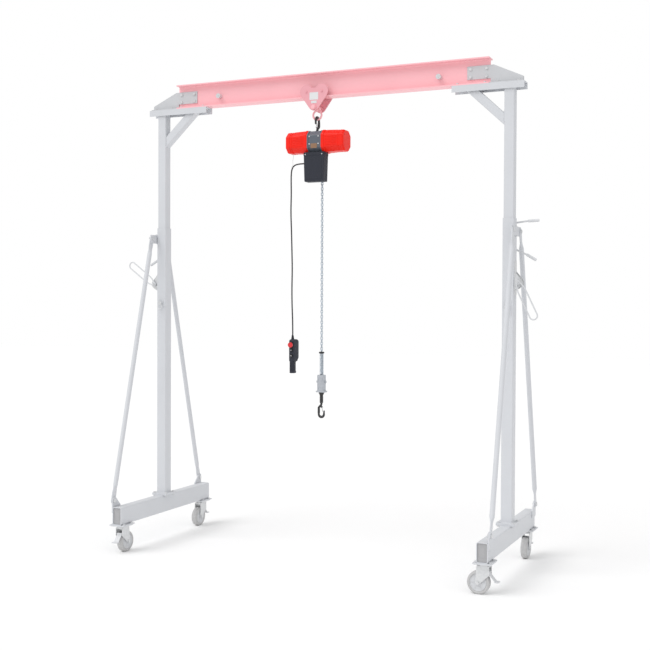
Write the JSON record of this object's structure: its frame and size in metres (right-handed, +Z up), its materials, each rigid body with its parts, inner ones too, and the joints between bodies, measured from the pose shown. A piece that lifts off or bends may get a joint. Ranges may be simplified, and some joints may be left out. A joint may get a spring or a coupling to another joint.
{
  "type": "portable gantry crane",
  "caption": "Portable steel gantry crane on braked swivel casters, with telescopic legs, an I-beam, a push trolley and an electric chain hoist with a pendant control.",
  "frame": {"origin": "on the floor, under the middle of the whole outline", "axes": "+X along the beam, +Y across the legs towards the back, +Z up"},
  "size_m": [3.28, 1.272, 3.515],
  "materials": {
    "grey_paint": "satin paint",
    "red_paint": "satin paint",
    "zinc_steel": "bright zinc plate",
    "cast_zinc": "cast",
    "tyre_rubber": "matte",
    "black_steel": "black",
    "dark_iron": "dark",
    "hoist_red": "satin paint",
    "hoist_grey": "satin paint",
    "charcoal_plastic": "matte",
    "black_rubber": "matte",
    "stop_red": "gloss",
    "button_grey": "matte"
  },
  "bodies": {
    "bridge": {"beam": "red_paint", "left_upper_frame": "grey_paint", "right_upper_frame": "grey_paint", "gussets": "grey_paint", "bridge_bolts": "zinc_steel"},
    "left_leg": {"left_base": "grey_paint", "left_lower_post": "grey_paint", "left_struts": "grey_paint", "left_fixings": "zinc_steel", "left_winch_frame": "zinc_steel"},
    "left_upper_lever": {"left_upper_clamp_lever": "black_steel"},
    "left_lower_lever": {"left_lower_clamp_lever": "black_steel"},
    "left_drum": {"left_winch_drum": "zinc_steel"},
    "left_handle": {"left_winch_handle": "black_steel"},
    "left_pin": {"left_stop_pin": "zinc_steel"},
    "left_front_swivel": {"left_front_fork": "zinc_steel"},
    "left_front_roller": {"left_front_wheel": "tyre_rubber"},
    "left_front_pedal": {"left_front_brake": "zinc_steel"},
    "left_back_swivel": {"left_back_fork": "zinc_steel"},
    "left_back_roller": {"left_back_wheel": "tyre_rubber"},
    "left_back_pedal": {"left_back_brake": "zinc_steel"},
    "right_leg": {"right_base": "grey_paint", "right_lower_post": "grey_paint", "right_struts": "grey_paint", "right_fixings": "zinc_steel", "right_winch_frame": "zinc_steel"},
    "right_upper_lever": {"right_upper_clamp_lever": "black_steel"},
    "right_lower_lever": {"right_lower_clamp_lever": "black_steel"},
    "right_drum": {"right_winch_drum": "zinc_steel"},
    "right_handle": {"right_winch_handle": "black_steel"},
    "right_pin": {"right_stop_pin": "zinc_steel"},
    "right_front_swivel": {"right_front_fork": "zinc_steel"},
    "right_front_roller": {"right_front_wheel": "tyre_rubber"},
    "right_front_pedal": {"right_front_brake": "zinc_steel"},
    "right_back_swivel": {"right_back_fork": "zinc_steel"},
    "right_back_roller": {"right_back_wheel": "tyre_rubber"},
    "right_back_pedal": {"right_back_brake": "zinc_steel"},
    "trolley": {"trolley_plates": "red_paint"},
    "suspension": {"trolley_eye": "red_paint"},
    "trolley_wheel_left_front_body": {"trolley_wheel_left_front": "dark_iron"},
    "trolley_wheel_left_back_body": {"trolley_wheel_left_back": "dark_iron"},
    "trolley_wheel_right_front_body": {"trolley_wheel_right_front": "dark_iron"},
    "trolley_wheel_right_back_body": {"trolley_wheel_right_back": "dark_iron"},
    "hoist": {"hoist_gearbox": "hoist_grey", "hoist_left_cover": "hoist_red", "hoist_right_cover": "hoist_red", "chain_box": "charcoal_plastic", "top_hook": "black_steel", "cable_gland": "black_rubber", "pendant_cable": "black_rubber", "pendant": "charcoal_plastic", "load_chain": "zinc_steel"},
    "top_latch": {"top_latch": "zinc_steel"},
    "lower_block": {"bottom_block": "cast_zinc", "limit_spring": "zinc_steel"},
    "hook": {"load_hook": "black_steel"},
    "load_latch": {"load_latch": "zinc_steel"},
    "stop_button": {"stop_button": "stop_red"},
    "up_button": {"up_button": "button_grey"},
    "down_button": {"down_button": "button_grey"}
  },
  "joints": [
    {"name": "left_leg_telescope", "type": "slide", "parent": "bridge", "child": "left_leg", "axis": [0, 0, 1], "range_m": [-0.2, 0.55]},
    {"name": "left_upper_clamp_turn", "type": "hinge", "parent": "left_leg", "child": "left_upper_lever", "pos_m": [-1.3354, 0.06, 2.392], "axis": [0, 1, 0], "range_deg": [-20, 128]},
    {"name": "left_lower_clamp_turn", "type": "hinge", "parent": "left_leg", "child": "left_lower_lever", "pos_m": [-1.3354, 0.06, 2.215], "axis": [0, 1, 0], "range_deg": [-58, 74]},
    {"name": "left_drum_turn", "type": "hinge", "parent": "left_leg", "child": "left_drum", "pos_m": [-1.3854, 0, 1.985], "axis": [0, 1, 0], "continuous": true},
    {"name": "left_handle_swing", "type": "hinge", "parent": "left_leg", "child": "left_handle", "pos_m": [-1.3854, -0.039, 1.985], "axis": [0, 1, 0], "range_deg": [-106, 34]},
    {"name": "left_pin_pull", "type": "slide", "parent": "left_leg", "child": "left_pin", "axis": [0, -1, 0], "range_m": [0, 0.13]},
    {"name": "left_front_swivel_turn", "type": "hinge", "parent": "left_leg", "child": "left_front_swivel", "pos_m": [-1.3174, -0.54, 0.19], "axis": [0, 0, 1], "continuous": true},
    {"name": "left_front_wheel_roll", "type": "hinge", "parent": "left_front_swivel", "child": "left_front_roller", "pos_m": [-1.3174, -0.502, 0.075], "axis": [-1, 0, 0], "continuous": true},
    {"name": "left_front_brake_press", "type": "hinge", "parent": "left_front_swivel", "child": "left_front_pedal", "pos_m": [-1.3174, -0.568, 0.14], "axis": [1, 0, 0], "range_deg": [0, 16]},
    {"name": "left_back_swivel_turn", "type": "hinge", "parent": "left_leg", "child": "left_back_swivel", "pos_m": [-1.3174, 0.54, 0.19], "axis": [0, 0, 1], "continuous": true},
    {"name": "left_back_wheel_roll", "type": "hinge", "parent": "left_back_swivel", "child": "left_back_roller", "pos_m": [-1.3174, 0.502, 0.075], "axis": [1, 0, 0], "continuous": true},
    {"name": "left_back_brake_press", "type": "hinge", "parent": "left_back_swivel", "child": "left_back_pedal", "pos_m": [-1.3174, 0.568, 0.14], "axis": [-1, 0, 0], "range_deg": [0, 16]},
    {"name": "right_leg_telescope", "type": "slide", "parent": "bridge", "child": "right_leg", "axis": [0, 0, 1], "range_m": [-0.2, 0.55]},
    {"name": "right_upper_clamp_turn", "type": "hinge", "parent": "right_leg", "child": "right_upper_lever", "pos_m": [1.4706, 0.06, 2.392], "axis": [0, -1, 0], "range_deg": [-38, 110]},
    {"name": "right_lower_clamp_turn", "type": "hinge", "parent": "right_leg", "child": "right_lower_lever", "pos_m": [1.4706, 0.06, 2.215], "axis": [0, -1, 0], "range_deg": [-58, 74]},
    {"name": "right_drum_turn", "type": "hinge", "parent": "right_leg", "child": "right_drum", "pos_m": [1.5206, 0, 1.985], "axis": [0, 1, 0], "continuous": true},
    {"name": "right_handle_swing", "type": "hinge", "parent": "right_leg", "child": "right_handle", "pos_m": [1.5206, -0.039, 1.985], "axis": [0, -1, 0], "range_deg": [-6, 134]},
    {"name": "right_pin_pull", "type": "slide", "parent": "right_leg", "child": "right_pin", "axis": [0, -1, 0], "range_m": [0, 0.13]},
    {"name": "right_front_swivel_turn", "type": "hinge", "parent": "right_leg", "child": "right_front_swivel", "pos_m": [1.4526, -0.54, 0.19], "axis": [0, 0, 1], "continuous": true},
    {"name": "right_front_wheel_roll", "type": "hinge", "parent": "right_front_swivel", "child": "right_front_roller", "pos_m": [1.4146, -0.54, 0.075], "axis": [0, -1, 0], "continuous": true},
    {"name": "right_front_brake_press", "type": "hinge", "parent": "right_front_swivel", "child": "right_front_pedal", "pos_m": [1.4806, -0.54, 0.14], "axis": [0, 1, 0], "range_deg": [0, 16]},
    {"name": "right_back_swivel_turn", "type": "hinge", "parent": "right_leg", "child": "right_back_swivel", "pos_m": [1.4526, 0.54, 0.19], "axis": [0, 0, 1], "continuous": true},
    {"name": "right_back_wheel_roll", "type": "hinge", "parent": "right_back_swivel", "child": "right_back_roller", "pos_m": [1.4526, 0.502, 0.075], "axis": [1, 0, 0], "continuous": true},
    {"name": "right_back_brake_press", "type": "hinge", "parent": "right_back_swivel", "child": "right_back_pedal", "pos_m": [1.4526, 0.568, 0.14], "axis": [-1, 0, 0], "range_deg": [0, 16]},
    {"name": "eye_swing", "type": "hinge", "parent": "trolley", "child": "suspension", "pos_m": [0.0056, 0, 3.262], "axis": [0, 1, 0], "range_deg": [-12, 12]},
    {"name": "trolley_travel", "type": "slide", "parent": "bridge", "child": "trolley", "axis": [1, 0, 0], "range_m": [-0.716, 0.84]},
    {"name": "trolley_wheel_left_front_roll", "type": "hinge", "parent": "trolley", "child": "trolley_wheel_left_front_body", "pos_m": [-0.0564, 0, 3.3763], "axis": [0, 1, 0], "continuous": true},
    {"name": "trolley_wheel_left_back_roll", "type": "hinge", "parent": "trolley", "child": "trolley_wheel_left_back_body", "pos_m": [-0.0564, 0, 3.3763], "axis": [0, 1, 0], "continuous": true},
    {"name": "trolley_wheel_right_front_roll", "type": "hinge", "parent": "trolley", "child": "trolley_wheel_right_front_body", "pos_m": [0.0676, 0, 3.3763], "axis": [0, 1, 0], "continuous": true},
    {"name": "trolley_wheel_right_back_roll", "type": "hinge", "parent": "trolley", "child": "trolley_wheel_right_back_body", "pos_m": [0.0676, 0, 3.3763], "axis": [0, 1, 0], "continuous": true},
    {"name": "hoist_swing", "type": "hinge", "parent": "suspension", "child": "hoist", "pos_m": [0.0056, 0, 3.1795], "axis": [1, 0, 0], "range_deg": [-10, 10]},
    {"name": "top_latch_open", "type": "hinge", "parent": "hoist", "child": "top_latch", "pos_m": [0.0056, -0.004, 3.1258], "axis": [-1, 0, 0], "range_deg": [0, 30], "stiffness_Nm_per_rad": 0.05, "springref_deg": -17.19},
    {"name": "chain_lift", "type": "slide", "parent": "hoist", "child": "lower_block", "axis": [0, 0, 1], "range_m": [-0.95, 1.2], "deforming": ["load_chain"]},
    {"name": "hook_swivel", "type": "hinge", "parent": "lower_block", "child": "hook", "pos_m": [0.0376, 0.02, 1.18], "axis": [0, 0, 1], "continuous": true},
    {"name": "load_latch_open", "type": "hinge", "parent": "hook", "child": "load_latch", "pos_m": [0.0416, 0.02, 1.079], "axis": [0, 1, 0], "range_deg": [0, 30], "stiffness_Nm_per_rad": 0.05, "springref_deg": -17.19},
    {"name": "stop_button_press", "type": "slide", "parent": "hoist", "child": "stop_button", "axis": [0, 1, 0], "range_m": [0, 0.004], "stiffness_N_per_m": 900, "springref_m": -0.002},
    {"name": "up_button_press", "type": "slide", "parent": "hoist", "child": "up_button", "axis": [0, 1, 0], "range_m": [0, 0.003], "stiffness_N_per_m": 700, "springref_m": -0.002},
    {"name": "down_button_press", "type": "slide", "parent": "hoist", "child": "down_button", "axis": [0, 1, 0], "range_m": [0, 0.003], "stiffness_N_per_m": 700, "springref_m": -0.002}
  ],
  "couplings": [
    {"joint": "right_leg_telescope", "follows": "left_leg_telescope", "ratio": 1},
    {"joint": "trolley_wheel_left_front_roll", "follows": "trolley_travel", "rad_per_m": 31.25},
    {"joint": "trolley_wheel_left_back_roll", "follows": "trolley_travel", "rad_per_m": 31.25},
    {"joint": "trolley_wheel_right_front_roll", "follows": "trolley_travel", "rad_per_m": 31.25},
    {"joint": "trolley_wheel_right_back_roll", "follows": "trolley_travel", "rad_per_m": 31.25}
  ]
}
